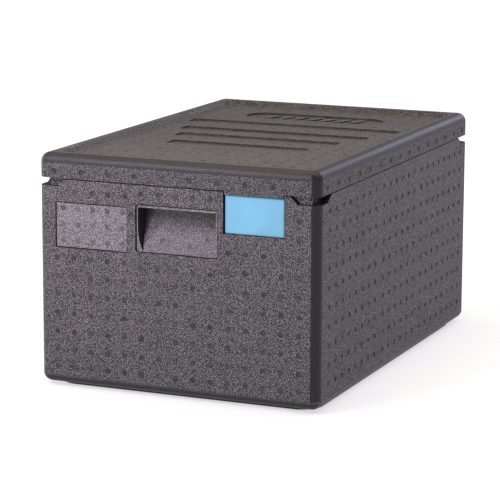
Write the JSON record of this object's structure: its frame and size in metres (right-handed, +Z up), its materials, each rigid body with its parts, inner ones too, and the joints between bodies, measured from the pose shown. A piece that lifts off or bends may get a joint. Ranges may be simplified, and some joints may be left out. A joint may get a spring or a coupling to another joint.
{
  "type": "insulated food carrier",
  "caption": "Top-loading insulated foam box for a full-size food pan, with a lift-off lid, recessed hand grips and a plug-in name tag.",
  "frame": {"origin": "bottom centre of the carrier, on the face that it stands on", "axes": "+Z up, the long side along Y, and the end with the name tag facing -Y"},
  "size_m": [0.4, 0.6, 0.316],
  "materials": {
    "foam": "matte",
    "tag_plastic": "satin"
  },
  "bodies": {
    "carrier": {"body_shell": "foam"},
    "lid": {"lid_shell": "foam"},
    "tag": {"id_tag": "tag_plastic"}
  },
  "joints": [
    {"name": "lid_lift", "type": "slide", "parent": "carrier", "child": "lid", "axis": [0, 0, 1], "range_m": [0, 0.25]},
    {"name": "tag_pull", "type": "slide", "parent": "carrier", "child": "tag", "axis": [0, -1, 0], "range_m": [0, 0.04]}
  ]
}
